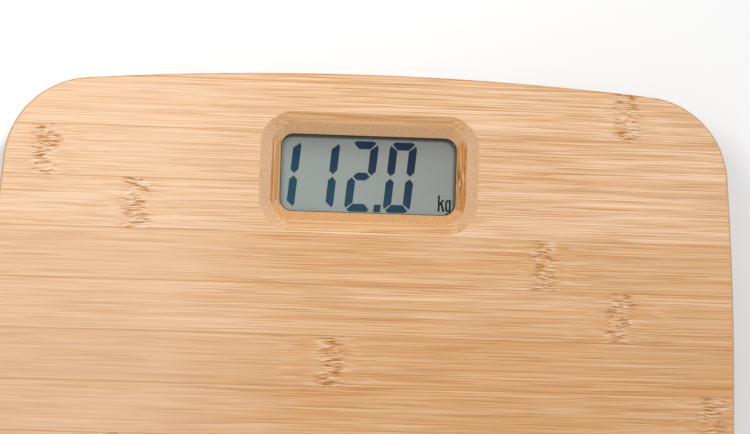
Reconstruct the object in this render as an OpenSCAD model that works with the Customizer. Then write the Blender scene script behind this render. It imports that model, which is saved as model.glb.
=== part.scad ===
// Digital bathroom scale: a square bamboo platform of three glued plies on four load-cell feet,
// with a liquid crystal display in a stepped, bevelled window near the back edge.
// Millimetres. Origin on the floor under the middle of the platform, +Z up, +Y to the display edge.

/* [Platform] */
// Side of the square platform, measured across the middles of its bowed edges
platform_side = 300; // [296:1:310]
// Radius of each gently bowed edge
edge_bow_r = 1290; // [1100:10:1600]
// Radius of the four corners
corner_r = 35; // [32:1:38]
// Thickness of the bottom ply
bottom_ply_t = 5.5; // [5.5:0.1:6]
// Thickness of the core ply
core_ply_t = 4.2; // [3.8:0.1:4.6]
// Thickness of the top ply
top_ply_t = 2.3; // [2:0.1:2.6]
// Radius of the rounded top and bottom edges
edge_round = 1.2; // [0.8:0.1:1.8]

/* [Display window] */
// Width of the window where the display shows
opening_w = 71; // [69:0.5:72]
// Height of the window where the display shows
opening_h = 31.3; // [30:0.1:32.5]
// Corner radius of that window
opening_r = 5; // [4:0.5:9]
// Width of the bevel in the core ply
core_bevel = 3.7; // [3:0.1:4.2]
// Width of the bevel in the top ply
top_bevel = 4.65; // [4:0.05:5.2]
// Distance from the middle of the window to the back edge
window_inset = 39.7; // [39:0.1:41]

/* [Readout] */
// Height of a digit
digit_h = 28.6; // [26:0.1:28.8]
// Width of a digit
digit_w = 11.1; // [10:0.1:12]
// Distance between the middles of two digits
digit_pitch = 15.65; // [15:0.05:15.65]
// Width of a lit bar
bar_w = 3.2; // [2.6:0.1:3.4]
// Lean of the digits, as sideways shift per height
digit_lean = 0.09; // [0:0.01:0.1]

/* [Feet] */
// Height of the platform's underside above the floor
stand_h = 13; // [13:0.1:14]
// Distance of each foot from the middle of the platform, along X and along Y
foot_offset = 104; // [103:0.5:105]
// Diameter of the rubber pad
pad_d = 44; // [42:1:44]
// Free play of a foot, which it drops when the scale is lifted
foot_play = 0.8; // [0.4:0.1:0.9]
// Side of the square steel load cell
cell_side = 34; // [32:0.5:34]
// Thickness of the load cell
cell_t = 3; // [2.5:0.1:3]

/* [Electronics] */
// Diameter of an AAA battery
battery_d = 10.5; // [10.1:0.1:10.5]
// Length of an AAA battery
battery_l = 44.5; // [43.5:0.1:44.5]
// Travel of the unit button
button_travel = 1; // [0.6:0.1:1]
// Diameter of the unit button
button_d = 7.4; // [6.4:0.1:7.4]
// Thickness of the housing's walls
wall = 1.6; // [1.4:0.1:1.6]

/* [Hidden] */
$fn = 64;
cut = 0.1; // how far a cut runs past the face it opens

// Levels of the platform
core_z = stand_h + bottom_ply_t;
top_ply_z = core_z + core_ply_t;
platform_top_z = top_ply_z + top_ply_t;
window_y = platform_side / 2 - window_inset;

// Foot stack, from the floor up
pad_t = 2;
plate_t = 2;
plate_d = 70;
cell_top_z = stand_h - 1.3;
cell_z = cell_top_z - cell_t;
flange_z = 4.6;
flange_t = 1.2;
flange_d = 49;
disc_d = 44;
ledge_z = flange_z - foot_play - 0.03; // a hair below the flange at the end of its drop
ring_z = ledge_z - 0.77;
ring_top_z = 6.2;
ring_d = 56;
screw_circle_r = 31.5;
fit_gap = 0.3; // gap between a recess and what sits in it

// Housing box, as [low, high] along each axis
housing_x = 60;
housing_y = [40, 138.4];
housing_z = [5, core_z - 0.3];
housing_flange = 6.5;
housing_flange_t = 2;
floor_top_z = housing_z[0] + wall;

// Battery bay
battery_z = 12;
battery_rows_y = [48.5, 60];
bay_x = 25.4;
bay_y = [42.6, 65.9];
bay_roof_z = 17.4;
lead_hole_z = 15;
contact_t = 0.4;
spring_gap = 2 * (bay_x - contact_t) - battery_l;
door_x = 28;
door_y = [housing_y[0], 68];
door_plate_t = 1.4;
tongue_x = 30.5;
tongue_z = [housing_z[0] + door_plate_t, housing_z[0] + 2.3];
slide_gap = 0.2;

// Circuit board and display stack
board_x = 51;
board_y = [75, 135];
board_z = [10.4, 12];
post_x = 47;
posts_y = [79, 131];
glass_w = 77;
front_glass_h = 41.4;
rear_glass_h = 35;
gasket_t = 0.4;
gasket_lip = 0.25; // how far the gasket shows inside the window
lens_t = 1;
lens_gap = 1.4; // air under the lens
segment_t = 0.05;
film_t = 0.2;
glass_t = 1.1;
lens_w = 80;
lens_h = 42;
lens_z = core_z - gasket_t - lens_t;
polariser_z = lens_z - lens_gap - film_t;
front_glass_z = polariser_z - glass_t;
rear_glass_z = front_glass_z - glass_t;
reflector_z = rear_glass_z - film_t;
zebra_y = front_glass_h / 2 - 1.6;
zebra_w = 2.4;
holder_w = 82;
holder_h = 46.6;
readout_mid_y = -0.65; // middle of the digits, from the middle of the window
last_digit_x = 12.95;

// Unit button under the housing
button_pos = [30, 82];
button_flange_t = 0.8;
switch_z = floor_top_z + button_flange_t + button_travel + 0.5;
switch_side = 6;

// Cable grooves
groove_w = 6;
groove_top_z = stand_h + 3.2;
wire_d = 1.2;
wire_pitch = 1.6;
wire_z = stand_h + 1.2;
front_entry = [48, housing_y[0]];
cover_t = 0.3;

// Colours
bamboo = [0.90, 0.73, 0.54];
bamboo_core = [0.78, 0.58, 0.38];
white_plastic = [0.90, 0.90, 0.88];
steel = [0.72, 0.73, 0.75];

// One entry per foot: name suffix, X sign, Y sign
FEET = [["front_left", -1, -1], ["front_right", 1, -1], ["rear_left", -1, 1], ["rear_right", 1, 1]];

// ---- Helpers ----

function arc_points(x, y, r, from, to, steps) =
    [for (i = [0:steps - 1]) let (a = from + (to - from) * i / steps) [x + r * cos(a), y + r * sin(a)]];

// Platform outline: four bowed edges and four round corners, all tangent, moved in by inset
bow_centre = edge_bow_r - platform_side / 2;
corner_c = (sqrt(2 * pow(edge_bow_r - corner_r, 2) - pow(bow_centre, 2)) - bow_centre) / 2;
bow_angle = atan2(corner_c, corner_c + bow_centre);

function quarter(inset) = concat(
    arc_points(-bow_centre, 0, edge_bow_r - inset, -bow_angle, bow_angle, 12),
    arc_points(corner_c, corner_c, corner_r - inset, bow_angle, 90 - bow_angle, 16));

module platform_outline(inset = 0) {
    side = quarter(inset);
    polygon([for (turn = [0:90:270], p = side)
        [p[0] * cos(turn) - p[1] * sin(turn), p[0] * sin(turn) + p[1] * cos(turn)]]);
}

function rounded_points(w, h, r) = concat(
    arc_points(w / 2 - r, h / 2 - r, r, 0, 90, 8), [[w / 2 - r, h / 2]],
    arc_points(r - w / 2, h / 2 - r, r, 90, 180, 8), [[-w / 2, h / 2 - r]],
    arc_points(r - w / 2, r - h / 2, r, 180, 270, 8), [[r - w / 2, -h / 2]],
    arc_points(w / 2 - r, r - h / 2, r, 270, 360, 8), [[w / 2, r - h / 2]]);

module rounded_plate(w, h, r, z, t) {
    translate([0, 0, z]) linear_extrude(t) polygon(rounded_points(w, h, r));
}

// A plate of the same kind, given by its low and high Y
module rounded_span(half_w, y, r, z, t) {
    translate([0, (y[0] + y[1]) / 2, 0]) rounded_plate(2 * half_w, y[1] - y[0], r, z, t);
}

module span_box(x, y, z) {
    translate([x[0], y[0], z[0]]) cube([x[1] - x[0], y[1] - y[0], z[1] - z[0]]);
}

module at_window() { translate([0, window_y, 0]) children(); }

module mirrored() {
    children();
    mirror([1, 0, 0]) children();
}

// A plate of rounded_plate's outline, w by h at its low face, grown by grow at its high face
module bevel_cut(w, h, r, grow, z, t) {
    hull() {
        rounded_plate(w, h, r, z, 0.01);
        rounded_plate(w + 2 * grow, h + 2 * grow, r + grow, z + t, 0.01);
    }
}

function unit(v) = v / norm(v);

function path_tangent(path, i) =
    unit(path[min(i + 1, len(path) - 1)] - path[max(i - 1, 0)]);

function path_ring(path, i, r, sides, ref) =
    let (t = path_tangent(path, i), side = unit(cross(t, ref)), up = cross(side, t))
    [for (k = [0:sides - 1]) let (a = 360 * k / sides) path[i] + r * (cos(a) * side + sin(a) * up)];

// A tube of diameter d swept along path, with no stretch of it parallel to ref
module swept_tube(path, d, sides, ref) {
    last = len(path) - 1;
    rings = [for (i = [0:last]) each path_ring(path, i, d / 2, sides, ref)];
    sides_faces = [for (i = [0:last - 1], k = [0:sides - 1]) let (n = (k + 1) % sides)
        [i * sides + k, i * sides + n, (i + 1) * sides + n, (i + 1) * sides + k]];
    start_cap = [[for (k = [sides - 1:-1:0]) k]];
    end_cap = [[for (k = [0:sides - 1]) last * sides + k]];
    polyhedron(rings, concat(sides_faces, start_cap, end_cap), convexity = 6);
}

// ---- Feet layout ----

function foot_centre(f) = [f[1] * foot_offset, f[2] * foot_offset];

// Where the cable groove of a foot meets the housing's wall
function groove_end(f) = f[2] < 0 ? [f[1] * front_entry[0], front_entry[1]] : [f[1] * housing_x, foot_offset];

function cable_vector(f) = groove_end(f) - foot_centre(f);
function cable_angle(f) = atan2(cable_vector(f)[1], cable_vector(f)[0]);

// Moves to a foot, with its local +X along its cable
module at_foot(f) {
    translate(foot_centre(f)) rotate(cable_angle(f)) children();
}

module at_bracket_screws() {
    for (a = [60, 180, 300]) rotate(a) translate([screw_circle_r, 0, 0]) children();
}

module at_housing_screws() {
    flange_mid_x = housing_x + housing_flange / 2;
    for (x = [-flange_mid_x, flange_mid_x], y = [60, 128]) translate([x, y, 0]) children();
    for (x = [-20, 20]) translate([x, housing_y[0] - housing_flange / 2, 0]) children();
    for (x = [-30, 30]) translate([x, housing_y[1] + housing_flange / 2, 0]) children();
}

// Pan-head screw with its head's top face on z = 0, and its shank going up
module wood_screw(shank_l) {
    head_h = 1.6;
    difference() {
        translate([0, 0, -head_h]) rotate_extrude()
            polygon([[0, 0], [2, 0], [2.7, 0.7], [2.7, head_h], [0, head_h]]);
        for (a = [0, 90]) rotate(a) translate([-1.5, -0.3, -head_h - cut]) cube([3, 0.6, 0.9]);
    }
    cylinder(h = shank_l - 1, d = 2.6);
    translate([0, 0, shank_l - 1]) cylinder(h = 1, d1 = 2.6, d2 = 1);
}

module screw_pilot() {
    translate([0, 0, stand_h - cut]) cylinder(h = 4.7 + cut, d = 2.7);
}

// ---- Platform ----

// Thin slices of the rounded edge, up to a face at z that looks up (way = 1) or down (way = -1)
module rounded_rim(z, way) {
    slice = 0.01;
    for (a = [22.5:22.5:90])
        translate([0, 0, z - way * edge_round * (1 - sin(a)) - (way > 0 ? slice : 0)])
            linear_extrude(slice) platform_outline(edge_round * (1 - cos(a)));
}

module platform_top_ply() {
    color(bamboo) difference() {
        hull() {
            translate([0, 0, top_ply_z]) linear_extrude(top_ply_t - edge_round) platform_outline();
            rounded_rim(platform_top_z, 1);
        }
        at_window() bevel_cut(opening_w + 2 * core_bevel - 0.02, opening_h + 2 * core_bevel - 0.02,
            opening_r + core_bevel, top_bevel + 0.02, top_ply_z - 0.01, top_ply_t + 0.01);
    }
}

module platform_core_ply() {
    color(bamboo_core) difference() {
        translate([0, 0, core_z]) linear_extrude(core_ply_t) platform_outline();
        at_window() bevel_cut(opening_w, opening_h, opening_r, core_bevel, core_z - 0.01, core_ply_t + 0.01);
    }
}

module platform_bottom_ply() {
    color(bamboo) difference() {
        hull() {
            translate([0, 0, stand_h + edge_round]) linear_extrude(bottom_ply_t - edge_round)
                platform_outline();
            rounded_rim(stand_h, -1);
        }
        rounded_span(housing_x + fit_gap, [housing_y[0] - fit_gap, housing_y[1] + fit_gap], 4.3,
            stand_h - cut, bottom_ply_t + 2 * cut);
        for (f = FEET) at_foot(f) {
            translate([0, 0, stand_h - cut]) cylinder(h = plate_t + cut, d = plate_d + 2 * fit_gap);
            at_bracket_screws() screw_pilot();
            cable_groove(f);
        }
        at_housing_screws() screw_pilot();
    }
}

module cable_groove(f) {
    translate([12, -groove_w / 2, stand_h - cut])
        cube([norm(cable_vector(f)) - 11, groove_w, groove_top_z - stand_h + cut]);
}

// ---- Display ----

module lens_gasket() {
    color("dimgray") at_window() difference() {
        rounded_plate(lens_w, lens_h, 3, core_z - gasket_t, gasket_t);
        rounded_plate(opening_w - 2 * gasket_lip, opening_h - 2 * gasket_lip, opening_r - gasket_lip,
            core_z - gasket_t - cut, gasket_t + 2 * cut);
    }
}

module display_lens() {
    color([0.85, 0.9, 0.9, 0.3]) at_window() rounded_plate(lens_w, lens_h, 3, lens_z, lens_t);
}

// Bars a to g of a digit, in the usual order, on axes through the digit's middle
function bar_points(bar) = let (x = digit_w / 2, y = digit_h / 2, w = bar_w)
    bar == "a" ? [[1 - x, y - 0.8], [2.1 - x, y], [x - 2.1, y], [x - 1, y - 0.8],
        [x - w, y - w], [w - x, y - w]] :
    bar == "b" ? [[x - 0.5, y - 1.4], [x, y - 2.6], [x, 2.2], [x - w / 2, 0.5],
        [x - w, 1.9], [x - w, y - w - 0.4]] :
    bar == "c" ? [for (p = bar_points("b")) [p[0], -p[1]]] :
    bar == "d" ? [for (p = bar_points("a")) [p[0], -p[1]]] :
    bar == "e" ? [for (p = bar_points("b")) [-p[0], -p[1]]] :
    bar == "f" ? [for (p = bar_points("b")) [-p[0], p[1]]] :
    [[2.1 - x, 0], [w + 0.6 - x, w / 2 - 0.05], [x - w - 0.6, w / 2 - 0.05], [x - 2.1, 0],
     [x - w - 0.6, 0.05 - w / 2], [w + 0.6 - x, 0.05 - w / 2]];

module readout_shape(points, x) {
    polygon([for (p = points) [x + p[0] + digit_lean * p[1], readout_mid_y + p[1]]]);
}

// The small unit letters: a k of a stem, an arm and a leg, and a g of a bowl and a hook
module unit_letters() {
    stroke = 0.78;
    translate([28.6, -13.85]) {
        square([stroke, 6.6]);
        polygon([[stroke - 0.1, 2.2], [stroke - 0.1, 3.3], [1.75, 4.8], [2.7, 4.8]]);
        polygon([[1.15, 2.85], [1.75, 3.6], [2.85, 0], [1.9, 0]]);
    }
    translate([31.6, -13.85]) {
        difference() {
            polygon([[0.7, 0], [2.3, 0], [2.3, 4.8], [0.7, 4.8], [0, 4], [0, 0.8]]);
            polygon([[1, stroke], [2.3 - stroke, stroke], [2.3 - stroke, 4.05], [1, 4.05],
                [0.75, 3.7], [0.75, 1.1]]);
        }
        polygon([[2.3 - stroke, 0.1], [2.3, 0.1], [2.3, -0.8], [1.85, -1.3], [0.3, -1.3], [0.3, -0.6],
            [1.5, -0.6], [2.3 - stroke, -0.4]]);
    }
}

// Lit bars of the readout
module lcd_segments() {
    digits = ["bc", "bc", "abged", "abcdef"];
    point_x = last_digit_x - digit_pitch / 2;
    point_y = [-digit_h / 2, 3.1 - digit_h / 2];
    color([0.1, 0.22, 0.35]) at_window() translate([0, 0, polariser_z + film_t]) linear_extrude(segment_t) {
        for (i = [0:3], bar = digits[i])
            readout_shape(bar_points(bar), last_digit_x - (3 - i) * digit_pitch);
        readout_shape([[-1.4, point_y[0]], [1.4, point_y[0]], [1.4, point_y[1]], [-1.4, point_y[1]]],
            point_x);
        unit_letters();
    }
}

module lcd_polariser() {
    color([0.58, 0.62, 0.59]) at_window() rounded_plate(76, 36, 0.5, polariser_z, film_t);
}

module lcd_front_glass() {
    color([0.7, 0.8, 0.75, 0.5]) at_window()
        rounded_plate(glass_w, front_glass_h, 0.3, front_glass_z, glass_t);
}

module lcd_rear_glass() {
    color([0.6, 0.7, 0.65, 0.6]) at_window() rounded_plate(glass_w, rear_glass_h, 0.3, rear_glass_z, glass_t);
}

module lcd_reflector() {
    color([0.75, 0.76, 0.74]) at_window() rounded_plate(76, 34, 0.5, reflector_z, film_t);
}

// White frame that stands on the circuit board and carries the glass
module lcd_holder() {
    rest_h = reflector_z - board_z[1];
    color(white_plastic) at_window() {
        difference() {
            rounded_plate(holder_w, holder_h, 1.5, board_z[1], lens_z - board_z[1]);
            rounded_plate(glass_w + 0.4, front_glass_h + 0.4, 0.5,
                board_z[1] - cut, lens_z - board_z[1] + 2 * cut);
        }
        difference() {
            translate([-glass_w / 2 - 0.3, -16.5, board_z[1]]) cube([glass_w + 0.6, 33, rest_h]);
            translate([-33, -13.5, board_z[1] - cut]) cube([66, 27, rest_h + 2 * cut]);
        }
    }
}

// Rubber connectors that join the glass's contact ledges to the board
module zebra_strips() {
    color("dimgray") at_window() for (side = [-1, 1])
        translate([-35, side * zebra_y - zebra_w / 2, board_z[1]])
            cube([70, zebra_w, front_glass_z - board_z[1]]);
}

// ---- Electronics ----

module at_posts() {
    for (x = [-post_x, post_x], y = posts_y) translate([x, y, 0]) children();
}

module main_board() {
    color("darkgreen") difference() {
        rounded_span(board_x, board_y, 1.5, board_z[0], board_z[1] - board_z[0]);
        at_posts() translate([0, 0, board_z[0] - cut]) cylinder(h = 2, d = 2.4);
    }
}

module processor_blob() {
    color("black") translate([-12, 104, board_z[0] - 1.6]) rotate_extrude()
        polygon([[0, 0], [3, 0.1], [5, 0.6], [6.4, 1.6], [0, 1.6]]);
}

// Crystal, capacitors and resistors on the underside of the board
module board_components() {
    color("tan") {
        translate([-26, 92, board_z[0] - 2.2]) cylinder(h = 2.2, d = 5);
        translate([8, 90, board_z[0] - 3]) cylinder(h = 3, d = 6.3);
        span_box([2, 9], [112, 115], [board_z[0] - 2.5, board_z[0]]);
        for (i = [0:5]) translate([14 + 4 * i, 100, board_z[0] - 0.6]) cube([1.25, 2, 0.6]);
        for (i = [0:3]) translate([-34, 96 + 4 * i, board_z[0] - 0.8]) cube([2, 1.25, 0.8]);
    }
}

module board_screws() {
    color(steel) at_posts() {
        difference() {
            translate([0, 0, board_z[1]]) cylinder(h = 1.4, d = 4.2);
            translate([-1.2, -0.25, board_z[1] + 0.8]) cube([2.4, 0.5, 1]);
        }
        translate([0, 0, floor_top_z + 0.6]) cylinder(h = board_z[1] - floor_top_z - 0.6, d = 1.9);
    }
}

module unit_switch_body() {
    color("dimgray") translate([button_pos[0], button_pos[1], 0]) difference() {
        translate([-switch_side / 2, -switch_side / 2, switch_z])
            cube([switch_side, switch_side, board_z[0] - switch_z]);
        translate([0, 0, switch_z - cut]) cylinder(h = 1.5 + cut, d = 3);
    }
}

module unit_switch_stem() {
    stem_z = floor_top_z + button_flange_t;
    color("black") translate([button_pos[0], button_pos[1], stem_z])
        cylinder(h = switch_z + 0.4 - stem_z, d = 2.4);
}

// Press cap: a domed face below the housing, a shaft in its hole and a flange that keeps it in
module unit_button() {
    face_z = -0.6;
    cap_h = floor_top_z - housing_z[0];
    r = button_d / 2;
    color("dimgray") translate([button_pos[0], button_pos[1], housing_z[0]]) rotate_extrude()
        polygon([[0, face_z], [r - 1.2, face_z], [r - 0.5, face_z + 0.15], [r, face_z + 0.6], [r, cap_h],
            [r + 1.4, cap_h], [r + 1.4, cap_h + button_flange_t], [0, cap_h + button_flange_t]]);
}

// Tray below the board and battery bay, let into the bottom ply and screwed on by its flange
module electronics_housing() {
    rim_z = housing_z[1] + cut;
    color(white_plastic) difference() {
        union() {
            difference() {
                union() {
                    rounded_span(housing_x, housing_y, 4, housing_z[0], housing_z[1] - housing_z[0]);
                    rounded_span(housing_x + housing_flange,
                        [housing_y[0] - housing_flange, housing_y[1] + housing_flange], 7,
                        stand_h - housing_flange_t, housing_flange_t);
                }
                rounded_span(housing_x - wall, [door_y[1] + wall, housing_y[1] - wall], 2.4,
                    floor_top_z, rim_z - floor_top_z);
                mirrored() {
                    span_box([tongue_x + 2, housing_x - wall], [housing_y[0] + wall, door_y[1] + 2 * wall],
                        [floor_top_z, rim_z]);
                    span_box([bay_x + wall, tongue_x + 3], [housing_y[0] + wall, door_y[1] + 2 * wall],
                        [9.2, rim_z]);
                }
            }
            at_posts() translate([0, 0, floor_top_z - cut])
                cylinder(h = board_z[0] - floor_top_z + cut, d = 6);
        }
        battery_bay_cut();
        at_posts() translate([0, 0, floor_top_z + 0.5]) cylinder(h = 5, d = 2);
        translate([button_pos[0], button_pos[1], housing_z[0] - cut])
            cylinder(h = wall + 2 * cut, d = button_d + 2 * fit_gap);
        translate([0, 0, stand_h - housing_flange_t - cut]) at_housing_screws()
            cylinder(h = housing_flange_t + 2 * cut, d = 3);
        cable_notches();
        door_grip_dish();
    }
}

module battery_bay_cut() {
    difference() {
        span_box([-bay_x, bay_x], bay_y, [housing_z[0] - cut, bay_roof_z]);
        span_box([-bay_x - 1, bay_x + 1], [54, 54.5], [14.6, bay_roof_z + 1]);
    }
    span_box([-door_x - slide_gap, door_x + slide_gap], [door_y[0] - cut, door_y[1] + slide_gap],
        [housing_z[0] - cut, tongue_z[0]]);
    span_box([-tongue_x - slide_gap, tongue_x + slide_gap], [door_y[0] - cut, door_y[1] + slide_gap],
        [tongue_z[0] - slide_gap, tongue_z[1] + slide_gap]);
    for (y = battery_rows_y) translate([-bay_x, y, lead_hole_z]) rotate([0, 90, 0])
        cylinder(h = 6, d = 2, center = true);
}

// Openings in the walls for the cables from the feet
module cable_notches() {
    for (f = FEET) translate([groove_end(f)[0], groove_end(f)[1], stand_h])
        translate([-groove_w / 2 - 1, -groove_w / 2, 0]) cube([groove_w + 2, groove_w, 3.2]);
}

// Shallow finger dish ahead of the battery door
module door_grip_dish() {
    translate([0, door_y[1] + 1, housing_z[0] - 14.4]) sphere(r = 15);
}

module housing_screws() {
    color(steel) translate([0, 0, stand_h - housing_flange_t]) at_housing_screws() wood_screw(6.4);
}

module battery_door() {
    color(white_plastic) {
        span_box([-door_x, door_x], door_y, [housing_z[0], tongue_z[0]]);
        mirrored() span_box([door_x - 2, tongue_x], door_y, [tongue_z[0] - 0.01, tongue_z[1]]);
        for (i = [0:4]) translate([-9, door_y[0] + 12 + 2.4 * i, housing_z[0] - 0.4]) cube([18, 1, 0.5]);
    }
}

// One AAA cell along X, from its flat end at x = 0 to the tip of its nub
module battery() {
    nub_l = 1;
    translate([0, 0, battery_z]) rotate([0, 90, 0]) {
        cylinder(h = battery_l - nub_l, d = battery_d);
        translate([0, 0, battery_l - nub_l]) cylinder(h = nub_l, d = 3.8);
    }
}

module battery_1() {
    color("goldenrod") translate([bay_x - contact_t - battery_l, battery_rows_y[0], 0]) battery();
}

module battery_2() {
    color("goldenrod") mirror([1, 0, 0])
        translate([bay_x - contact_t - battery_l, battery_rows_y[1], 0]) battery();
}

// Conical spring along X, from x = 0 to the flat end of a battery
module contact_spring() {
    turns = 3.5;
    steps = 42;
    coil_wire = 0.7;
    travel = spring_gap - coil_wire;
    path = [for (i = [0:steps]) let (s = i / steps, a = 360 * turns * s, r = 3.8 - 1.6 * s)
        [coil_wire / 2 + travel * s, r * cos(a), r * sin(a)]];
    swept_tube(path, coil_wire, 6, [1, 0, 0]);
}

module battery_springs() {
    color(steel) {
        translate([contact_t - bay_x, battery_rows_y[0], battery_z]) contact_spring();
        mirror([1, 0, 0]) translate([contact_t - bay_x, battery_rows_y[1], battery_z]) contact_spring();
    }
}

// Spring-steel plates: one bridge across both cells at one end, and two single plates at the other
module battery_contacts() {
    half = 4.6;
    z = [battery_z - 3.8, battery_z + 4.4];
    color(steel) {
        span_box([-bay_x, contact_t - bay_x], [battery_rows_y[0] - half, battery_rows_y[0] + half], z);
        span_box([-bay_x, contact_t - bay_x], [battery_rows_y[1] - half, battery_rows_y[1] + half], z);
        span_box([bay_x - contact_t, bay_x], [battery_rows_y[0] - half, battery_rows_y[1] + half],
            [z[0], z[1] - 2.6]);
    }
}

// Wires from the two single plates, through the bay's wall, to the board
module battery_leads() {
    pad_y = board_y[0] + 3;
    for (row = [0, 1]) color(row == 0 ? "black" : "red") {
        y = battery_rows_y[row];
        lane_x = row == 0 ? 32 : 30.2;
        pad_x = row == 0 ? 28 : 25.6;
        swept_tube([[-bay_x, y, lead_hole_z], [-bay_x - 3.2, y, lead_hole_z], [-lane_x, y + 2, lead_hole_z],
            [-lane_x, bay_y[1] + 4, lead_hole_z - 0.6], [-pad_x, pad_y - 2.5, board_z[1] + 0.9],
            [-pad_x, pad_y, board_z[1] + wire_d / 2 + 0.02]], wire_d, 8, [0, 0, 1]);
    }
}

// ---- Cables from the load cells ----

// Route of one wire of a foot's cable in the foot's own frame: up from the gauge, along the groove,
// into the housing and down to the board
function foot_route(f, offset) = let (run = norm(cable_vector(f)), front = f[2] < 0)
    [[13.2, offset * 0.8, cell_top_z + wire_d / 2 + 0.02], [15.5, offset, cell_top_z + wire_d / 2 + 0.3],
     [18.5, offset, wire_z], [30, offset, wire_z], [run - 4, offset, wire_z], [run + 3, offset, wire_z],
     [run + (front ? 30 : 8), offset, 13.6],
     [run + (front ? 42 : 14), offset, board_z[1] + wire_d / 2 + 0.02]];

module foot_wires(slot) {
    for (f = FEET) at_foot(f) swept_tube(foot_route(f, slot * wire_pitch), wire_d, 8, [0, 0, 1]);
}

module wires_red() { color("firebrick") foot_wires(-1); }
module wires_black() { color("black") foot_wires(0); }
module wires_white() { color("white") foot_wires(1); }

// Adhesive strips that close the grooves from below
module cable_covers() {
    color("whitesmoke") for (f = FEET) if (f[2] < 0) difference() {
        at_foot(f) translate([plate_d / 2 + 2, -6, stand_h - cover_t])
            cube([norm(cable_vector(f)) - plate_d / 2 - 12.4, 12, cover_t]);
        span_box([-housing_x, housing_x], [housing_y[0] - housing_flange - 0.5, housing_y[0]],
            [0, stand_h + 1]);
    }
}

// ---- Feet ----

// Moulded carrier, flush in the underside of the platform, that holds the load cell's frame
module foot_bracket(f) {
    rail_z = cell_top_z;
    half = cell_side / 2;
    color(white_plastic) at_foot(f) difference() {
        union() {
            translate([0, 0, stand_h]) cylinder(h = plate_t, d = plate_d);
            difference() {
                translate([0, 0, ring_top_z]) cylinder(h = stand_h - ring_top_z, d = ring_d);
                translate([0, 0, ring_top_z - cut]) cylinder(h = stand_h - ring_top_z + cut, d = ring_d - 4);
            }
            for (side = [-1, 1]) scale([1, side, 1]) {
                span_box([-half + 1, half - 1], [half - 5, half - 0.6], [rail_z, stand_h + cut]);
                span_box([-6, 6], [half + 0.2, half + 1.7], [cell_z - 1.1, stand_h + cut]);
                span_box([-6, 6], [half - 0.9, half + 1.7], [cell_z - 1.1, cell_z - 0.1]);
            }
        }
        translate([12, -groove_w / 2, ring_top_z + 4]) cube([plate_d, groove_w, stand_h]);
        translate([0, 0, stand_h - cut]) at_bracket_screws() cylinder(h = plate_t + 2 * cut, d = 3);
    }
}

// Steel bending-beam cell: a square frame with a tongue cut free on three sides
module load_cell(f) {
    tongue_half = 7;
    slot_w = 2.4;
    color(steel) at_foot(f) difference() {
        rounded_plate(cell_side, cell_side, 2, cell_z, cell_t);
        for (side = [-1, 1]) scale([1, side, 1])
            span_box([-12, 7], [tongue_half, tongue_half + slot_w], [cell_z - cut, cell_top_z + cut]);
        span_box([-12, -12 + slot_w], [-tongue_half - 1, tongue_half + 1], [cell_z - cut, cell_top_z + cut]);
        for (x = [-13.5, 13.5], side = [-1, 1]) translate([x, side * 11.7, cell_z - cut])
            cylinder(h = cell_t + 2 * cut, d = 2.2);
    }
}

// Sealing compound over the gauge at the root of the tongue
module strain_gauge(f) {
    color("white") at_foot(f) translate([9, 0, cell_top_z]) rotate_extrude()
        polygon([[0, 0], [4, 0], [3.6, 0.6], [2.4, 0.95], [0, 1.05]]);
}

// Ring under the bracket whose lip keeps the foot in
module foot_ring(f) {
    color(white_plastic) translate(foot_centre(f)) rotate_extrude()
        polygon([[disc_d / 2 + 0.5, ring_z], [ring_d / 2 - 0.8, ring_z], [ring_d / 2, ring_z + 0.8],
            [ring_d / 2, ring_top_z], [ring_d / 2 - 2.6, ring_top_z],
            [ring_d / 2 - 2.6, ledge_z], [disc_d / 2 + 0.5, ledge_z]]);
}

// Moving foot: a disc with a captured flange and a boss that bears on the cell's tongue
module foot_disc(f) {
    boss_r = 6;
    color(white_plastic) translate(foot_centre(f)) rotate_extrude()
        polygon([[0, pad_t], [disc_d / 2, pad_t], [disc_d / 2, flange_z], [flange_d / 2, flange_z],
            [flange_d / 2, flange_z + flange_t], [boss_r + 2, flange_z + flange_t],
            [boss_r, flange_z + flange_t + 1], [boss_r, cell_z - 0.6], [boss_r - 0.6, cell_z], [0, cell_z]]);
}

// Rubber sole with a rounded rim and two shallow rings
module foot_pad(f) {
    r = pad_d / 2;
    groove = 0.5;
    color([0.25, 0.25, 0.26]) translate(foot_centre(f)) rotate_extrude()
        polygon([[0, 0], [8, 0], [8, groove], [9.5, groove], [9.5, 0], [15, 0], [15, groove], [16.5, groove],
            [16.5, 0], [r - 1.1, 0], [r - 0.35, 0.35], [r, 1.1], [r, pad_t], [0, pad_t]]);
}

module bracket_screws() {
    color(steel) for (f = FEET) at_foot(f) translate([0, 0, stand_h]) at_bracket_screws() wood_screw(4.4);
}

platform_top_ply();
platform_core_ply();
platform_bottom_ply();
lens_gasket();
display_lens();
lcd_segments();
lcd_polariser();
lcd_front_glass();
lcd_rear_glass();
lcd_reflector();
lcd_holder();
zebra_strips();
main_board();
processor_blob();
board_components();
board_screws();
unit_switch_body();
unit_switch_stem();
unit_button();
electronics_housing();
housing_screws();
battery_door();
battery_1();
battery_2();
battery_springs();
battery_contacts();
battery_leads();
wires_red();
wires_black();
wires_white();
cable_covers();
bracket_screws();
foot_bracket(FEET[0]);  // foot_bracket_front_left
foot_bracket(FEET[1]);  // foot_bracket_front_right
foot_bracket(FEET[2]);  // foot_bracket_rear_left
foot_bracket(FEET[3]);  // foot_bracket_rear_right
load_cell(FEET[0]);  // load_cell_front_left
load_cell(FEET[1]);  // load_cell_front_right
load_cell(FEET[2]);  // load_cell_rear_left
load_cell(FEET[3]);  // load_cell_rear_right
strain_gauge(FEET[0]);  // strain_gauge_front_left
strain_gauge(FEET[1]);  // strain_gauge_front_right
strain_gauge(FEET[2]);  // strain_gauge_rear_left
strain_gauge(FEET[3]);  // strain_gauge_rear_right
foot_ring(FEET[0]);  // foot_ring_front_left
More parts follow.
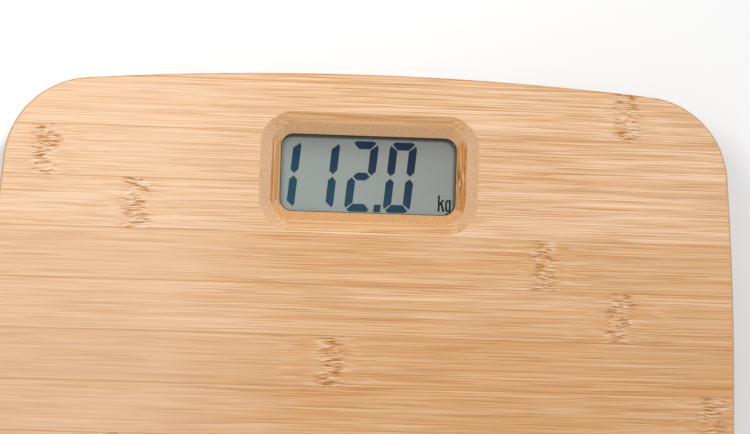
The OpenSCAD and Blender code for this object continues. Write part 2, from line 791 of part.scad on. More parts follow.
foot_ring(FEET[1]);  // foot_ring_front_right
foot_ring(FEET[2]);  // foot_ring_rear_left
foot_ring(FEET[3]);  // foot_ring_rear_right
foot_disc(FEET[0]);  // foot_disc_front_left
foot_disc(FEET[1]);  // foot_disc_front_right
foot_disc(FEET[2]);  // foot_disc_rear_left
foot_disc(FEET[3]);  // foot_disc_rear_right
foot_pad(FEET[0]);  // foot_pad_front_left
foot_pad(FEET[1]);  // foot_pad_front_right
foot_pad(FEET[2]);  // foot_pad_rear_left
foot_pad(FEET[3]);  // foot_pad_rear_right
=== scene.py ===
import math
import random
from collections import namedtuple

import bmesh
import bpy
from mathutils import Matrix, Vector


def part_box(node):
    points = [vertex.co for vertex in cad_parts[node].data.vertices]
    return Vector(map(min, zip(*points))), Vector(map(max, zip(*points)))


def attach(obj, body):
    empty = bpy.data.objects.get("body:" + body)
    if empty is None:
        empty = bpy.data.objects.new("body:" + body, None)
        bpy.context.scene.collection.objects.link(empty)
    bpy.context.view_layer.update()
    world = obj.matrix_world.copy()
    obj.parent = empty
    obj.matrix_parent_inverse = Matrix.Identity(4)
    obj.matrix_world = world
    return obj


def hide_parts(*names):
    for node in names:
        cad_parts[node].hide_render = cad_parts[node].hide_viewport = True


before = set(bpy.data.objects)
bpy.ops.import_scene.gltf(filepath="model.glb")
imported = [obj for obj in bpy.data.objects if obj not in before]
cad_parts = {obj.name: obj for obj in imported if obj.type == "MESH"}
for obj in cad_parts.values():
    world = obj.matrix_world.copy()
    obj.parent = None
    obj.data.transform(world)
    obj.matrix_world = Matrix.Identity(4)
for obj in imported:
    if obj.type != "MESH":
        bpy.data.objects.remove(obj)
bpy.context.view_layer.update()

# The looks of a bamboo bathroom scale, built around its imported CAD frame. Meshes are in metres, as the
# frame is; materials work in millimetres.

MM = 0.001

# Shape of the plies, as in the CAD model
EDGE_BOW_R = 1290 * MM
CORNER_R = 35 * MM
EDGE_ROUND = 1.2 * MM
OPENING_R = 5 * MM
CORE_BEVEL = 3.7 * MM
TOP_BEVEL = 4.65 * MM
GASKET_REACH = Vector((4.5, 5.35, 0)) * MM  # the gasket reaches this far past the opening

# Fineness and eased edges of the two visible plies
CORNER_STEPS = 24
SIDE_STEPS = 24
ROUND_STEPS = 8
SIDE_HOLD = 0.2 * MM   # straight stretch kept below the rounded edge
FACE_HOLD = 0.5 * MM   # flat band kept beside a rounded edge or a bevel
FOOT_SOFT = 0.3 * MM   # easing at the foot of a bevel
TOP_RIM_SOFT = 0.25 * MM
CORE_RIM_SOFT = 0.02 * MM
SMOOTH_BELOW = 24      # degrees between faces that shade as one surface

# Camera, placed from the middle of the window at the platform's top, and the light
CAMERA_OFFSET = Vector((-32.4, -47.0, 676.8)) * MM
CAMERA_TURN = (2.42, -3.05, 1.72)
LENS_MM = 81.6
WORLD_STRENGTH = 0.44
FLOOR_SIDE = 8

# Places in the materials, mm
STRIP_COUNT = 16
STRIP_W = 20.2
FIRST_STRIP_Y = 25.0 - 9 * STRIP_W   # so that one boundary of two strips lies at 25
KNUCKLE_REACH = 150.0                # furthest place of a knuckle along its strip
TONE_MAX = 1.6
WINDOW_Y = 110.3                     # middle of the display window
SLEEVE_BAND_X = 11.6                 # on a battery: where its copper band starts
SLEEVE_PLUS_X = 23.7                 # and its bare plus end
SLEEVE_MINUS_X = -19.2               # and its bare minus end

FEET = ("front_left", "front_right", "rear_left", "rear_right")


# ---- Node graphs ----

class Graph:
    """Short calls that build one material's node tree. A value is a socket or a constant."""

    def __init__(self, name):
        self.material = bpy.data.materials.new(name)
        self.material.use_nodes = True
        self.tree = self.material.node_tree
        self.tree.nodes.clear()
        self.out = self.tree.nodes.new("ShaderNodeOutputMaterial")
        self.bsdf = self.node("ShaderNodeBsdfPrincipled")
        self.tree.links.new(self.bsdf.outputs[0], self.out.inputs["Surface"])

    def node(self, kind, inputs=None, **settings):
        made = self.tree.nodes.new(kind)
        for key, value in settings.items():
            setattr(made, key, value)
        for key, value in (inputs or {}).items():
            self.put(made.inputs[key], value)
        return made

    def put(self, socket, value):
        if isinstance(value, bpy.types.NodeSocket):
            self.tree.links.new(value, socket)
        elif socket.type == "RGBA" and len(value) == 3:
            socket.default_value = (*value, 1.0)
        else:
            socket.default_value = value

    def math(self, operation, a, b=0.0, clamp=False):
        made = self.node("ShaderNodeMath", {0: a, 1: b}, operation=operation)
        made.use_clamp = clamp
        return made.outputs[0]

    def plus(self, a, b):
        return self.math("ADD", a, b)

    def minus(self, a, b):
        return self.math("SUBTRACT", a, b)

    def times(self, a, b):
        return self.math("MULTIPLY", a, b)

    def mapped(self, value, low, high, to_low=0.0, to_high=1.0):
        made = self.node("ShaderNodeMapRange", {"Value": value, "From Min": low, "From Max": high,
                                                "To Min": to_low, "To Max": to_high})
        return made.outputs["Result"]

    def smooth(self, value, low, high):
        made = self.node("ShaderNodeMapRange", {"Value": value, "From Min": low, "From Max": high},
                         interpolation_type="SMOOTHSTEP")
        return made.outputs["Result"]

    def position(self, scale=1000.0):
        """Object coordinates, which are the frame's, times scale: millimetres by default."""
        coords = self.node("ShaderNodeTexCoord").outputs["Object"]
        return self.node("ShaderNodeVectorMath", {0: coords, 3: scale}, operation="SCALE").outputs[0]

    def split(self, vector):
        return self.node("ShaderNodeSeparateXYZ", {0: vector}).outputs

    def joined(self, x, y, z):
        return self.node("ShaderNodeCombineXYZ", {0: x, 1: y, 2: z}).outputs[0]

    def noise(self, vector, scale, detail=2.0, roughness=0.5):
        made = self.node("ShaderNodeTexNoise", {"Vector": vector, "Scale": scale, "Detail": detail,
                                                "Roughness": roughness})
        return made.outputs["Fac"]

    def mix(self, factor, a, b, blend="MIX"):
        made = self.node("ShaderNodeMix", {"Factor": factor}, data_type="RGBA", blend_type=blend)
        self.put(made.inputs[6], a)
        self.put(made.inputs[7], b)
        return made.outputs[2]

    def layer(self, under, over, mask, amount):
        """Lays a colour over another through a mask, at a share of its strength."""
        return self.mix(self.times(mask, amount), under, over)

    def stepped(self, value, stops):
        """A ramp that jumps from one grey to the next at each stop."""
        made = self.node("ShaderNodeValToRGB", {0: value})
        elements = made.color_ramp.elements
        made.color_ramp.interpolation = "CONSTANT"
        while len(elements) < len(stops):
            elements.new(0.5)
        for element, (place, grey) in zip(elements, stops):
            element.position = place
            element.color = (grey, grey, grey, 1.0)
        return self.split(made.outputs[0])[0]

    def bump(self, height, distance_mm, strength=1.0):
        made = self.node("ShaderNodeBump", {"Height": height, "Distance": distance_mm * MM,
                                            "Strength": strength})
        self.tree.links.new(made.outputs[0], self.bsdf.inputs["Normal"])

    def set(self, **values):
        for key, value in values.items():
            self.put(self.bsdf.inputs[key.replace("_", " ")], value)


def linear(r, g, b):
    """A display colour, 0 to 255, in the linear values that a shader takes."""
    return tuple((c / 255 / 12.92) if c <= 10 else ((c / 255 + 0.055) / 1.055) ** 2.4 for c in (r, g, b))


# ---- Bamboo ----

Wood = namedtuple("Wood", "pale light mid dark golden end")

# Noise drawn out along the grain: length and width of its cells in mm, seed, detail, roughness
STREAKS = {
    "broad": (150.0, 4.0, 3.1, 1.0, 0.5),
    "coarse": (140.0, 0.62, 11.7, 1.0, 0.6),
    "fine": (60.0, 0.34, 5.3, 0.0, 0.5),
    "hair": (26.0, 0.40, 8.9, 0.0, 0.5),
    "vein": (120.0, 0.60, 21.4, 0.0, 0.5),
    "short": (13.0, 0.9, 44.2, 1.0, 0.5),
}


def strip_table(seed, knuckles, tones_and_shade):
    """For each strip across the platform: where its knuckle lies along the grain, its tone and its shift.
    knuckles gives the place on named strips, by their low edge; the last argument gives a base tone above an
    edge, which on the face steps darker towards the front as painted shade.
    Other knuckles near the display keep to the sides of the platform."""
    chance = random.Random(seed)
    display_from, clear, reach_past = 20, 84, 60
    table = []
    for strip in range(STRIP_COUNT):
        low = FIRST_STRIP_Y + strip * STRIP_W
        side = -1 if chance.random() < 0.5 else 1
        reach = chance.random()
        seeded = side * (clear + reach_past * reach if low > display_from else (clear + reach_past) * reach)
        knuckle = knuckles.get(round(low), seeded)
        tone = [value for edge, value in tones_and_shade if low > edge][-1] + 0.3 * chance.random()
        table.append((knuckle, tone, chance.random()))
    return table


# The face strips step darker towards the front edge: painted shade for light falling off towards the front,
# over random strip tone.
FACE_STRIPS = strip_table(41, {25: -13.0, 65: 71.0}, ((-200, 1.05), (40, 0.7), (67, 0.05)))
CORE_STRIPS = strip_table(7, {}, ((-200, 0.0), (0, 1.2)))


def strip_lookup(g, index, strips, pick, low, high):
    """The value in column pick of strips for a strip's index, held in a stepped ramp over low to high."""
    inside = 0.001  # of a strip, so that rounding can't pick its neighbour
    stops = [((i + inside) / STRIP_COUNT if i else 0.0, (strips[i][pick] - low) / (high - low))
             for i in range(STRIP_COUNT)]
    place = g.math("DIVIDE", g.plus(index, 0.5), STRIP_COUNT)
    return g.mapped(g.stepped(place, stops), 0, 1, low, high)


def strip_facts(g, v, strips):
    """For the strip that holds a point: the place across it, its knuckle's place, its tone and its shift."""
    step = g.math("DIVIDE", g.minus(v, FIRST_STRIP_Y), STRIP_W)
    index = g.math("FLOOR", step)
    knuckle_u = strip_lookup(g, index, strips, 0, -KNUCKLE_REACH, KNUCKLE_REACH)
    tone = strip_lookup(g, index, strips, 1, 0, TONE_MAX)
    shift = strip_lookup(g, index, strips, 2, 0, 1)
    return g.math("FRACT", step), knuckle_u, tone, shift


def knuckle_zone(g, u, v, z, knuckle_u, shift):
    """Distance from a strip's ragged knuckle, masks for it and for the halo around it, and v as the
    fibres run: in slow waves, with a swirl at the knuckle."""
    wave = g.noise(g.joined(g.times(u, 0.007), g.times(v, 0.05), 0.0), 1.0, 0.0)
    waved = g.plus(v, g.mapped(wave, 0, 1, -0.4, 0.4))
    ragged = g.noise(g.joined(g.times(u, 0.02), g.times(v, 0.42), shift), 1.0, 2.0, 0.6)
    away = g.plus(g.minus(u, knuckle_u), g.mapped(ragged, 0, 1, -5, 5))
    near = g.math("ABSOLUTE", away)
    band = g.smooth(near, 7.5, 2.0)
    halo = g.smooth(near, 34.0, 4.0)
    swirl = g.noise(g.joined(g.times(u, 0.26), g.times(v, 0.5), z), 1.0, 1.0)
    swing = g.plus(band, g.times(halo, 0.07))
    return away, band, halo, g.plus(waved, g.times(g.mapped(swirl, 0, 1, -0.9, 0.9), swing))


def streaks(g, grain, kind):
    """One of STREAKS, in a grain of (u, v, z, shift)."""
    u, v, z, shift = grain
    length, width, seed, detail, rough = STREAKS[kind]
    along = g.plus(g.math("DIVIDE", u, length), g.times(shift, 37.0 + seed))
    deep = g.plus(g.math("DIVIDE", z, width), seed)
    return g.noise(g.joined(along, g.math("DIVIDE", v, width), deep), 1.0, detail, rough)


def strip_colour(g, grain, tone, halo, wood):
    """Base colour from light to mid, by strip, broad patches and coarse streaks."""
    level = g.plus(g.times(tone, 0.30), g.times(streaks(g, grain, "broad"), 0.38))
    level = g.plus(level, g.times(streaks(g, grain, "coarse"), 0.38))
    level = g.plus(level, g.times(halo, 0.06))
    return g.mix(g.smooth(level, 0.40, 0.78), wood.light, wood.mid)


def with_fibres(g, grain, colour, fine, hair, tone, wood):
    """Fine fibres, thin veins and short hairs; then the strip's tone, darker on the face's front strips as
    painted shade, and a paler left end of the board as painted light.
    """
    off_vein = g.math("ABSOLUTE", g.minus(streaks(g, grain, "vein"), 0.5))
    colour = g.layer(colour, wood.mid, g.smooth(fine, 0.48, 0.60), 0.70)
    colour = g.layer(colour, wood.pale, g.smooth(fine, 0.50, 0.36), 0.40)
    colour = g.layer(colour, wood.dark, g.smooth(off_vein, 0.07, 0.01), 0.50)
    colour = g.layer(colour, wood.dark, g.smooth(hair, 0.60, 0.68), 0.52)
    # the strip's tone darkens it; on the face the front strips' extra darkness is painted shade
    colour = g.layer(colour, wood.dark, tone, 0.10)
    # painted light: the left end of the board is made paler, as if lit more brightly
    return g.mix(g.mapped(grain[0], -80.0, -25.0, 0.32, 0.0), colour, wood.pale)


def with_knuckle(g, grain, colour, away, band, halo, wood):
    """Short flecks around a knuckle, and on it brown flames and pale flecks pointed along the grain."""
    short = streaks(g, grain, "short")
    colour = g.layer(colour, wood.mid, halo, g.times(g.smooth(short, 0.50, 0.66), 0.5))
    colour = g.layer(colour, wood.pale, halo, g.times(g.smooth(short, 0.48, 0.34), 0.4))
    flecks = g.noise(g.joined(g.times(away, 0.16), g.times(grain[1], 1.6), grain[2]), 1.0, 2.0, 0.55)
    brown = tuple(c * f for c, f in zip(wood.dark, (0.84, 0.76, 0.50)))
    colour = g.layer(colour, brown, g.times(band, g.smooth(flecks, 0.48, 0.60)), 0.90)
    return g.layer(colour, wood.pale, g.times(band, g.smooth(flecks, 0.48, 0.36)), 0.60)


def with_cuts(g, colour, across, end_axis, painted_end_shade, wood):
    """Dark lines where strips meet, deeper golden layers on slopes, and pores on cut ends, with painted
    shade on the cut ends that face up the grain.
    """
    edge = g.math("MINIMUM", across, g.minus(1.0, across))
    colour = g.layer(colour, wood.dark, g.smooth(edge, 0.020, 0.006), 0.5)
    normal = g.split(g.node("ShaderNodeTexCoord").outputs["Normal"])
    slope = g.smooth(g.math("ABSOLUTE", normal[2]), 0.98, 0.91)
    colour = g.mix(g.times(slope, 0.9), colour, wood.golden, "MULTIPLY")

    facing = normal[end_axis]
    pores = g.noise(g.position(), 2.6, 0.0)
    # painted shade: cut ends that face up the grain, towards the key light, get more of the mid colour
    end_colour = g.mix(g.mapped(facing, -0.6, 0.6, 0.1, 0.1 + painted_end_shade), wood.end, wood.mid)
    end_colour = g.layer(end_colour, wood.dark, g.smooth(pores, 0.50, 0.62), 0.38)
    end_colour = g.layer(end_colour, wood.pale, g.smooth(pores, 0.48, 0.36), 0.18)
    return g.mix(g.smooth(g.math("ABSOLUTE", facing), 0.22, 0.40), colour, end_colour)


def bamboo(name, along, strips, wood, painted_end_shade=0.0):
    """Solid bamboo in glued strips, with its grain along x or y. The last argument paints shade on the cut
    ends that face up the grain, darkening them."""
    g = Graph(name)
    x, y, z = g.split(g.position())
    u, v = (x, y) if along == "x" else (y, x)
    across, knuckle_u, tone, shift = strip_facts(g, v, strips)
    away, band, halo, bent = knuckle_zone(g, u, v, z, knuckle_u, shift)
    grain = (u, bent, z, shift)
    fine = streaks(g, grain, "fine")
    hair = streaks(g, grain, "hair")

    colour = strip_colour(g, grain, tone, halo, wood)
    colour = with_fibres(g, grain, colour, fine, hair, tone, wood)
    colour = with_knuckle(g, grain, colour, away, band, halo, wood)
    colour = with_cuts(g, colour, across, 0 if along == "x" else 1, painted_end_shade, wood)
    g.set(Base_Color=colour, Roughness=g.mapped(fine, 0, 1, 0.45, 0.62),
          Specular_IOR_Level=0.3, Coat_Weight=0.06, Coat_Roughness=0.35)
    g.bump(g.plus(fine, g.times(hair, 0.6)), 0.05, 0.5)
    return g.material


# ---- Plastics, rubber, metal ----

def moulded(name, colour, roughness=0.5, grain_mm=0.35, depth_mm=0.03):
    """Injection-moulded plastic with a spark-eroded texture and slight unevenness of tone."""
    g = Graph(name)
    p = g.position()
    grain = g.noise(p, 1 / grain_mm, 2.0, 0.6)
    patch = g.noise(p, 0.05, 2.0)
    shade = g.mix(g.smooth(patch, 0.3, 0.7), tuple(c * 0.93 for c in colour), colour)
    g.set(Base_Color=shade, Roughness=g.mapped(grain, 0, 1, roughness - 0.06, roughness + 0.08))
    g.bump(grain, depth_mm, 0.6)
    return g.material


def rubber(name, colour):
    """Matt rubber with a fine pebble and dusty high spots."""
    g = Graph(name)
    p = g.position()
    pebble = g.noise(p, 3.2, 3.0, 0.6)
    dust = g.noise(p, 0.22, 3.0, 0.6)
    shade = g.layer(colour, tuple(c + 0.06 for c in colour), g.smooth(dust, 0.5, 0.8), 0.35)
    g.set(Base_Color=shade, Roughness=g.mapped(pebble, 0, 1, 0.68, 0.88), Specular_IOR_Level=0.35)
    g.bump(pebble, 0.06, 0.7)
    return g.material


def metal(name, colour, roughness=0.32, brushed_along=None):
    """Plated steel, brushed along an axis if one is named, with faint blotches."""
    g = Graph(name)
    x, y, z = g.split(g.position())
    stretch = {"x": (0.04, 5.0, 5.0), "y": (5.0, 0.04, 5.0)}.get(brushed_along, (1.6, 1.6, 1.6))
    brushed = g.noise(g.joined(*(g.times(axis, s) for axis, s in zip((x, y, z), stretch))), 1.0, 3.0)
    blotch = g.noise(g.position(), 0.18, 3.0)
    shade = g.mix(g.smooth(blotch, 0.3, 0.8), colour, tuple(c * 0.82 for c in colour))
    g.set(Base_Color=shade, Metallic=1.0,
          Roughness=g.mapped(brushed, 0, 1, roughness - 0.08, roughness + 0.14))
    g.bump(brushed, 0.02, 0.4)
    return g.material


def circuit_board(name):
    """Green solder mask with lighter copper tracks showing through."""
    g = Graph(name)
    p = g.position()
    pattern = {"Vector": p, "Scale": 0.16, "Mortar Size": 0.035, "Mortar Smooth": 0.2}
    tracks = g.node("ShaderNodeTexBrick", pattern, offset=0.37, squash=1.6, squash_frequency=3)
    speckle = g.noise(p, 2.5, 2.0)
    mask = g.mix(g.smooth(speckle, 0.3, 0.8), linear(16, 84, 44), linear(22, 98, 52))
    colour = g.layer(mask, linear(46, 128, 70), tracks.outputs["Fac"], 0.8)
    g.set(Base_Color=colour, Roughness=g.mapped(speckle, 0, 1, 0.22, 0.36))
    g.bump(tracks.outputs["Fac"], 0.04, 0.8)
    return g.material


def battery_sleeve(name, plus_side):
    """Plain sleeve: a copper-coloured band at the plus end, dark along the rest, and bare metal ends."""
    g = Graph(name)
    x = g.times(g.split(g.position())[0], plus_side)
    scuff = g.noise(g.position(), 0.7, 3.0)
    dark_part = g.mix(g.smooth(scuff, 0.4, 0.8), linear(34, 36, 40), linear(46, 48, 54))
    colour = g.mix(g.smooth(x, SLEEVE_BAND_X, SLEEVE_BAND_X + 0.3), dark_part, linear(188, 122, 62))
    plus_end = g.smooth(x, SLEEVE_PLUS_X, SLEEVE_PLUS_X + 0.2)
    bare = g.math("MAXIMUM", plus_end, g.smooth(x, SLEEVE_MINUS_X + 0.2, SLEEVE_MINUS_X))
    g.set(Base_Color=g.mix(bare, colour, linear(196, 196, 192)), Metallic=g.mapped(bare, 0, 1, 0.25, 1.0),
          Roughness=g.mapped(scuff, 0, 1, 0.24, 0.38))
    g.bump(scuff, 0.02, 0.3)
    return g.material


# ---- Display ----

def display_film(name):
    """Grey-green face of the display: a fine grain, a slow drift of tint, and a painted shadow along its
    back edge.
    """
    g = Graph(name)
    p = g.position()
    x, y, _ = g.split(p)
    drift = g.plus(g.times(x, 0.0075), g.times(g.minus(y, WINDOW_Y), 0.016))
    drift = g.plus(drift, g.mapped(g.noise(p, 0.03, 1.0), 0, 1, 0.35, 0.65))
    grain = g.noise(p, 6.0, 2.0)
    tint = g.mix(g.smooth(drift, 0.0, 1.0), linear(146, 157, 153), linear(130, 132, 126))
    # painted shadow: the film darkens towards its back edge, where the window's wall shades it
    tint = g.mix(g.mapped(y, 116.0, 125.0, 0.0, 0.5), tint, linear(88, 90, 88))
    tint = g.layer(tint, linear(176, 182, 176), g.smooth(grain, 0.4, 0.7), 0.10)
    g.set(Base_Color=tint, Roughness=g.mapped(grain, 0, 1, 0.36, 0.46))
    g.bump(grain, 0.01, 0.3)
    return g.material


def display_ink(name):
    """Deep blue of a lit bar, lighter towards the front left, and near black in the unit's letters."""
    g = Graph(name)
    p = g.position()
    depth = g.noise(p, 0.16, 2.0)
    x, y, _ = g.split(p)
    fade = g.plus(g.mapped(x, -30.0, 14.0, 0.0, 0.4), g.mapped(y, 98.0, 122.0, 0.0, 0.6))
    fade = g.plus(fade, g.mapped(depth, 0, 1, -0.1, 0.1))
    colour = g.mix(g.smooth(fade, 0.0, 1.0), linear(30, 72, 90), linear(0, 24, 56))
    colour = g.mix(g.smooth(x, 24.0, 27.0), colour, linear(0, 4, 8))
    g.set(Base_Color=colour, Roughness=g.mapped(depth, 0, 1, 0.36, 0.46), Specular_IOR_Level=0.1)
    return g.material


def clear_lens(name, tint, share):
    """Clear sheet: a reflection over what lies behind it, with share as its strength seen head-on."""
    g = Graph(name)
    wear = g.noise(g.position(), 0.5, 3.0)
    g.set(Base_Color=tint, Metallic=1.0, Roughness=g.mapped(wear, 0, 1, 0.05, 0.12))
    clear = g.node("ShaderNodeBsdfTransparent", {"Color": tint})
    fresnel = g.node("ShaderNodeFresnel", {"IOR": 1.45}).outputs[0]
    amount = g.math("ADD", g.times(fresnel, 0.35), share, clamp=True)
    mixed = g.node("ShaderNodeMixShader", {0: amount, 1: clear.outputs[0], 2: g.bsdf.outputs[0]})
    g.tree.links.new(mixed.outputs[0], g.out.inputs["Surface"])
    return g.material


# ---- Meshes ----

def arc(centre, radius, start, end, steps):
    """Points on an arc in degrees, without the last, which the next stretch begins with."""
    return [(centre[0] + radius * math.cos(math.radians(start + (end - start) * i / steps)),
             centre[1] + radius * math.sin(math.radians(start + (end - start) * i / steps)))
            for i in range(steps)]


def turned(points, quarter):
    """Points turned about the middle by a number of quarter turns."""
    c, s = ((1, 0), (0, 1), (-1, 0), (0, -1))[quarter]
    return [(x * c - y * s, x * s + y * c) for x, y in points]


def platform_outline(inset):
    """The platform's outline, moved in by inset: four bowed edges and four tangent corners."""
    low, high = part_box("platform_top_ply")
    back = EDGE_BOW_R - (high.x - low.x) / 2
    corner = (math.sqrt(2 * (EDGE_BOW_R - CORNER_R) ** 2 - back ** 2) - back) / 2
    tilt = math.degrees(math.atan2(corner, corner + back))
    quarter = arc((-back, 0), EDGE_BOW_R - inset, -tilt, tilt, SIDE_STEPS)
    quarter += arc((corner, corner), CORNER_R - inset, tilt, 90 - tilt, CORNER_STEPS)
    return [p for k in range(4) for p in turned(quarter, k)]


def window_outline(grow):
    """The display window's outline, grown by grow, with as many points as the platform's."""
    low, high = window_box()
    middle = (low + high) / 2
    half_x, half_y, r = (high.x - low.x) / 2 + grow, (high.y - low.y) / 2 + grow, OPENING_R + grow
    points = []
    for quarter in range(4):
        reach, side = (half_x, half_y) if quarter % 2 == 0 else (half_y, half_x)
        straight = [(reach, (2 * i / SIDE_STEPS - 1) * (side - r)) for i in range(SIDE_STEPS)]
        points += turned(straight + arc((reach - r, side - r), r, 0, 90, CORNER_STEPS), quarter)
    return [(middle.x + x, middle.y + y) for x, y in points]


def window_box():
    """Corners of the opening at the foot of the bevels, found from the gasket behind it."""
    low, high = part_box("lens_gasket")
    return low + GASKET_REACH, high - GASKET_REACH


def quarter_round():
    """Cosines and sines over a quarter turn, both ends included."""
    angles = [math.radians(90 * i / ROUND_STEPS) for i in range(ROUND_STEPS + 1)]
    return [(math.cos(a), math.sin(a)) for a in angles]


def ring_solid(name, rings):
    """A closed solid through rings of equally many points, joined in turn and back to the first."""
    bm = bmesh.new()
    loops = [[bm.verts.new(p) for p in ring] for ring in rings]
    count = len(rings[0])
    for i, loop in enumerate(loops):
        following = loops[(i + 1) % len(loops)]
        for k in range(count):
            n = (k + 1) % count
            bm.faces.new((loop[k], loop[n], following[n], following[k]))
    bmesh.ops.recalc_face_normals(bm, faces=bm.faces)
    for face in bm.faces:
        face.smooth = True
    for edge in bm.edges:
        edge.smooth = edge.calc_face_angle(0) < math.radians(SMOOTH_BELOW)
    mesh = bpy.data.meshes.new(name)
    bm.to_mesh(mesh)
    bm.free()
    piece = bpy.data.objects.new(name, mesh)
    bpy.context.scene.collection.objects.link(piece)
    return piece


def at_height(points, z):
    return [(x, y, z) for x, y in points]


def softened_slope(low_grow, high_grow, z_low, z_high, low_soft, high_soft):
    """Rings down a bevel from its wide upper edge to its narrow lower one, with both edges eased."""
    run, rise = high_grow - low_grow, z_high - z_low
    length = math.hypot(run, rise)
    out, up = run / length, rise / length
    top_ease = [(high_grow + high_soft, z_high), (high_grow + high_soft * 0.4, z_high - high_soft * 0.06),
                (high_grow - out * high_soft * 0.5, z_high - up * high_soft * 0.5 - high_soft * 0.03),
                (high_grow - out * high_soft * 1.2, z_high - up * high_soft * 1.2)]
    foot_ease = [(low_grow + out * low_soft, z_low + up * low_soft), (low_grow, z_low)]
    return [at_height(window_outline(grow), z) for grow, z in top_ease + foot_ease]


def build_top_ply():
    """The top ply: its side, rounded edge, face and the outer bevel of the window."""
    low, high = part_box("platform_top_ply")
    z0, z1, r = low.z, high.z, EDGE_ROUND
    rim = CORE_BEVEL + TOP_BEVEL
    rings = [at_height(platform_outline(0), z0), at_height(platform_outline(0), z1 - r - SIDE_HOLD)]
    for c, s in quarter_round():
        rings.append(at_height(platform_outline(r * (1 - c)), z1 - r + r * s))
    rings.append(at_height(platform_outline(r + FACE_HOLD), z1))
    rings.append(at_height(window_outline(rim + FACE_HOLD), z1))
    rings += softened_slope(CORE_BEVEL, rim, z0, z1, FOOT_SOFT, TOP_RIM_SOFT)
    return ring_solid("top_ply_face", rings)


def build_core_ply():
    """The core ply: its side and the inner bevel of the window."""
    low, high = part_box("platform_core_ply")
    rings = [at_height(platform_outline(0), low.z), at_height(platform_outline(0), high.z)]
    rings += softened_slope(0, CORE_BEVEL, low.z, high.z, FOOT_SOFT, CORE_RIM_SOFT)
    return ring_solid("core_ply_face", rings)


# ---- Assembly ----

def dress(node, material):
    """Gives a carried-over CAD node its material."""
    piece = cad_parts[node]
    piece.data.materials.clear()
    piece.data.materials.append(material)


def dress_all():
    """Dresses every CAD node that stays in view, and returns the two bamboos for the plies."""
    face_wood = Wood(linear(241, 212, 184), linear(235, 197, 159), linear(217, 164, 110),
                     linear(184, 122, 56), (0.90, 0.82, 0.69), linear(213, 173, 137))
    core_wood = Wood(linear(240, 208, 170), linear(238, 200, 156), linear(208, 146, 78),
                     linear(166, 100, 36), (1.0, 0.98, 0.90), linear(236, 194, 150))
    bamboo_face = bamboo("bamboo_face", "x", FACE_STRIPS, face_wood)
    bamboo_core = bamboo("bamboo_core", "y", CORE_STRIPS, core_wood, 0.5)
    white = moulded("white_plastic", linear(232, 231, 226))
    steel = metal("screw_steel", linear(186, 186, 182), 0.36)
    cell = metal("cell_steel", linear(170, 172, 176), 0.34, "x")
    looks = {
        "platform_bottom_ply": bamboo_face,
        # near-black foam; its lip inside the opening is a dark line standing in for the shadow gap around
        # the display
        "lens_gasket": rubber("gasket_foam", linear(22, 20, 18)),
        "display_lens": clear_lens("clear_lens", (1.0, 1.0, 1.0), 0.0),
        "lcd_segments": display_ink("lcd_ink"),
        "lcd_polariser": display_film("lcd_face"),
        "lcd_reflector": moulded("reflector_film", linear(186, 190, 186), 0.4, 1.2),
        "lcd_holder": white,
        "zebra_strips": rubber("connector_rubber", linear(84, 84, 88)),
        "main_board": circuit_board("circuit_board"),
        "processor_blob": moulded("black_compound", linear(20, 20, 20), 0.25, 2.0, 0.05),
        "board_components": moulded("components", linear(150, 118, 74), 0.35),
        "board_screws": steel,
        "housing_screws": steel,
        "bracket_screws": steel,
        "unit_switch_body": moulded("switch_plastic", linear(30, 30, 32)),
        "unit_switch_stem": moulded("stem_plastic", linear(24, 24, 26)),
        "unit_button": moulded("button_plastic", linear(120, 122, 124), 0.45),
        "electronics_housing": white,
        "battery_door": white,
        "battery_1": battery_sleeve("battery_sleeve_right", 1.0),
        "battery_2": battery_sleeve("battery_sleeve_left", -1.0),
        "battery_springs": metal("spring_steel", linear(205, 205, 205), 0.22),
        "battery_contacts": metal("contact_steel", linear(205, 205, 202), 0.25, "y"),
        "battery_leads": moulded("lead_black", linear(22, 22, 22), 0.35),
        "wires_red": moulded("wire_red", linear(170, 26, 22), 0.35),
        "wires_black": moulded("wire_black", linear(22, 22, 22), 0.35),
        "wires_white": moulded("wire_white", linear(226, 226, 222), 0.35),
        "cable_covers": moulded("cover_film", linear(222, 220, 212), 0.55, 2.4),
    }
    glass = clear_lens("lcd_glass", (0.93, 0.97, 0.95), 0.02)
    looks["lcd_front_glass"] = looks["lcd_rear_glass"] = glass
    gauge = moulded("gauge_compound", linear(228, 228, 222), 0.4, 1.5)
    sole = rubber("foot_rubber", linear(52, 52, 54))
    for foot in FEET:
        looks[f"foot_bracket_{foot}"] = looks[f"foot_ring_{foot}"] = looks[f"foot_disc_{foot}"] = white
        looks[f"load_cell_{foot}"] = cell
        looks[f"strain_gauge_{foot}"] = gauge
        looks[f"foot_pad_{foot}"] = sole
    for node, material in looks.items():
        dress(node, material)
    return bamboo_face, bamboo_core


def add_plies(face, core):
    """The top and core plies with eased edges, in place of their CAD nodes."""
    for build, node, slot, material in ((build_top_ply, "platform_top_ply", "bamboo_face", face),
                                        (build_core_ply, "platform_core_ply", "bamboo_core", core)):
        piece = build()
        piece.data.materials.append(material)
        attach(piece, "platform")
        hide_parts(node)


# ---- Stage, light and camera ----

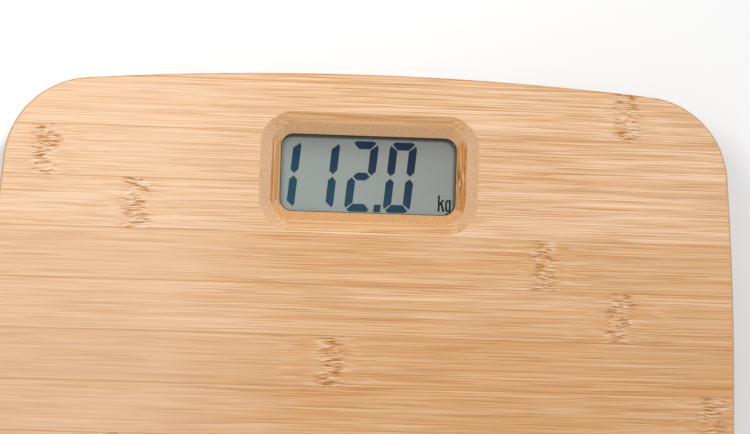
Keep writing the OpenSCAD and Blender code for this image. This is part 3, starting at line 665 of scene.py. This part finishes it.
def add_stage():
    """A pale floor that can be looked through from below."""
    bpy.ops.mesh.primitive_plane_add(size=FLOOR_SIDE)
    floor = bpy.context.object
    floor.name = "floor"
    g = Graph("floor")
    tone = g.noise(g.position(1.0), 3.0, 2.0)
    shade = g.mix(tone, (0.90, 0.90, 0.90), (0.94, 0.94, 0.94))
    g.set(Base_Color=shade, Roughness=g.mapped(tone, 0, 1, 0.7, 0.8))
    see_through = g.node("ShaderNodeBsdfTransparent")
    underneath = g.node("ShaderNodeNewGeometry").outputs["Backfacing"]
    sides = {0: underneath, 1: g.bsdf.outputs[0], 2: see_through.outputs[0]}
    one_sided = g.node("ShaderNodeMixShader", sides)
    g.tree.links.new(one_sided.outputs[0], g.out.inputs["Surface"])
    floor.data.materials.append(g.material)
    floor.visible_diffuse = False


def area_light(name, place, target, side, power, mirrored=True):
    """A square light, kept out of the picture, and out of reflections too unless it is mirrored."""
    data = bpy.data.lights.new(name, "AREA")
    data.shape = "SQUARE"
    data.size = side
    data.energy = power
    light = bpy.data.objects.new(name, data)
    light.location = place
    light.visible_camera = False
    light.visible_glossy = mirrored
    light.rotation_euler = (Vector(target) - Vector(place)).to_track_quat("-Z", "Y").to_euler()
    bpy.context.scene.collection.objects.link(light)


def add_lights():
    world = bpy.data.worlds.new("studio")
    bpy.context.scene.world = world
    world.use_nodes = True
    world.node_tree.nodes["Background"].inputs[0].default_value = (1.0, 1.0, 1.0, 1.0)
    world.node_tree.nodes["Background"].inputs[1].default_value = WORLD_STRENGTH
    area_light("key", (0.44, 0.66, 1.50), (0, 0.08, 0.02), 0.22, 11)
    area_light("fill", (-0.20, 0.27, 0.42), (-0.06, 0.15, 0.02), 0.2, 0.85, mirrored=False)


def add_camera():
    """The photograph's view: from above the window, turned a little."""
    low, high = window_box()
    middle = (low + high) / 2
    data = bpy.data.cameras.new("camera")
    data.lens = LENS_MM
    data.sensor_width = 36
    data.clip_start = 0.01
    camera = bpy.data.objects.new("camera", data)
    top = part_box("platform_top_ply")[1].z
    camera.location = Vector((middle.x, middle.y, top)) + CAMERA_OFFSET
    camera.rotation_euler = [math.radians(a) for a in CAMERA_TURN]
    bpy.context.scene.collection.objects.link(camera)
    bpy.context.scene.camera = camera


def main():
    add_camera()
    add_lights()
    add_stage()
    face, core = dress_all()
    add_plies(face, core)
    bpy.context.scene.view_settings.view_transform = "Standard"


main()
